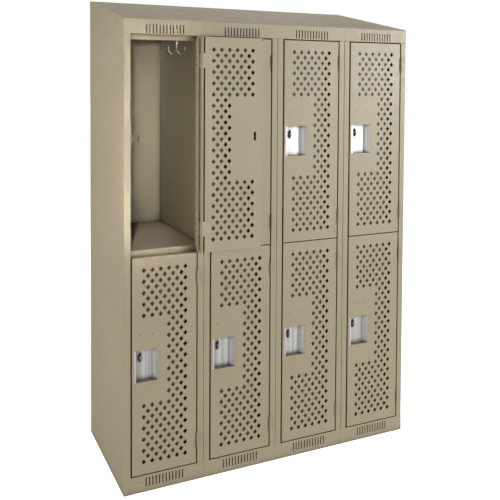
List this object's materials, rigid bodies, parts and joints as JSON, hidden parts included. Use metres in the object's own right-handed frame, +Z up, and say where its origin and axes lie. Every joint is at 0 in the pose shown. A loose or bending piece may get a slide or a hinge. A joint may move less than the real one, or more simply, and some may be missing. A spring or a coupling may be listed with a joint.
{
  "type": "locker cabinet",
  "caption": "Two-tier bank of ventilated sheet-steel lockers under a sloping hood, with hinged double-wall doors, recessed pulls, padlock hasps and coat hooks.",
  "frame": {"origin": "centre of the assembly's footprint on the floor, at the middle of the overall bounding box with the folded door included", "axes": "+Z up, -Y out of the doors, +X to the right of someone facing the doors"},
  "size_m": [1.221, 0.568, 1.8283],
  "materials": {
    "tan_paint": "satin powder coat",
    "door_paint": "satin powder coat",
    "stainless": "brushed",
    "hinge_paint": "satin powder coat",
    "zinc": "bright zinc plate",
    "dark_fastener": "dark oxide"
  },
  "bodies": {
    "cabinet": {"side_panels": "tan_paint", "partition_panels": "tan_paint", "back_panels": "tan_paint", "bottom_pans": "tan_paint", "tier_shelves": "tan_paint", "top_pans": "tan_paint", "frame_stiles": "tan_paint", "frame_headers": "tan_paint", "frame_mid_rails": "tan_paint", "frame_base_rails": "tan_paint", "hood_sheet": "tan_paint", "hood_ends": "tan_paint", "coat_hooks": "zinc", "coat_hook_screws": "zinc", "padlock_hasps": "tan_paint", "hinge_frame_leaves": "hinge_paint", "hinge_pins": "zinc", "hinge_screws": "dark_fastener", "side_rivets": "tan_paint"},
    "door_1_lower": {"door_1_lower_skin": "door_paint", "door_1_lower_liner": "door_paint", "door_1_lower_pull": "stainless", "door_1_lower_hinge_leaves": "hinge_paint", "door_1_lower_rivets": "hinge_paint"},
    "door_1_upper": {"door_1_upper_skin": "door_paint", "door_1_upper_liner": "door_paint", "door_1_upper_pull": "stainless", "door_1_upper_hinge_leaves": "hinge_paint", "door_1_upper_rivets": "hinge_paint"},
    "door_2_lower": {"door_2_lower_skin": "door_paint", "door_2_lower_liner": "door_paint", "door_2_lower_pull": "stainless", "door_2_lower_hinge_leaves": "hinge_paint", "door_2_lower_rivets": "hinge_paint"},
    "door_2_upper": {"door_2_upper_skin": "door_paint", "door_2_upper_liner": "door_paint", "door_2_upper_pull": "stainless", "door_2_upper_hinge_leaves": "hinge_paint", "door_2_upper_rivets": "hinge_paint"},
    "door_3_lower": {"door_3_lower_skin": "door_paint", "door_3_lower_liner": "door_paint", "door_3_lower_pull": "stainless", "door_3_lower_hinge_leaves": "hinge_paint", "door_3_lower_rivets": "hinge_paint"},
    "door_3_upper": {"door_3_upper_skin": "door_paint", "door_3_upper_liner": "door_paint", "door_3_upper_pull": "stainless", "door_3_upper_hinge_leaves": "hinge_paint", "door_3_upper_rivets": "hinge_paint"},
    "door_4_lower": {"door_4_lower_skin": "door_paint", "door_4_lower_liner": "door_paint", "door_4_lower_pull": "stainless", "door_4_lower_hinge_leaves": "hinge_paint", "door_4_lower_rivets": "hinge_paint"},
    "door_4_upper": {"door_4_upper_skin": "door_paint", "door_4_upper_liner": "door_paint", "door_4_upper_pull": "stainless", "door_4_upper_hinge_leaves": "hinge_paint", "door_4_upper_rivets": "hinge_paint"}
  },
  "joints": [
    {"name": "door_1_lower_hinge", "type": "hinge", "parent": "cabinet", "child": "door_1_lower", "pos_m": [-0.3288, -0.25335, 0.46275], "axis": [0, 0, 1], "range_deg": [0, 180]},
    {"name": "door_1_upper_hinge", "type": "hinge", "parent": "cabinet", "child": "door_1_upper", "pos_m": [-0.3288, -0.25335, 1.26125], "axis": [0, 0, 1], "range_deg": [-180, 0]},
    {"name": "door_2_lower_hinge", "type": "hinge", "parent": "cabinet", "child": "door_2_lower", "pos_m": [-0.024, -0.25335, 0.46275], "axis": [0, 0, 1], "range_deg": [0, 180]},
    {"name": "door_2_upper_hinge", "type": "hinge", "parent": "cabinet", "child": "door_2_upper", "pos_m": [-0.024, -0.25335, 1.26125], "axis": [0, 0, 1], "range_deg": [0, 1.5]},
    {"name": "door_3_lower_hinge", "type": "hinge", "parent": "cabinet", "child": "door_3_lower", "pos_m": [0.2808, -0.25335, 0.46275], "axis": [0, 0, 1], "range_deg": [0, 180]},
    {"name": "door_3_upper_hinge", "type": "hinge", "parent": "cabinet", "child": "door_3_upper", "pos_m": [0.2808, -0.25335, 1.26125], "axis": [0, 0, 1], "range_deg": [0, 180]},
    {"name": "door_4_lower_hinge", "type": "hinge", "parent": "cabinet", "child": "door_4_lower", "pos_m": [0.5856, -0.25335, 0.46275], "axis": [0, 0, 1], "range_deg": [0, 180]},
    {"name": "door_4_upper_hinge", "type": "hinge", "parent": "cabinet", "child": "door_4_upper", "pos_m": [0.5856, -0.25335, 1.26125], "axis": [0, 0, 1], "range_deg": [0, 180]}
  ]
}
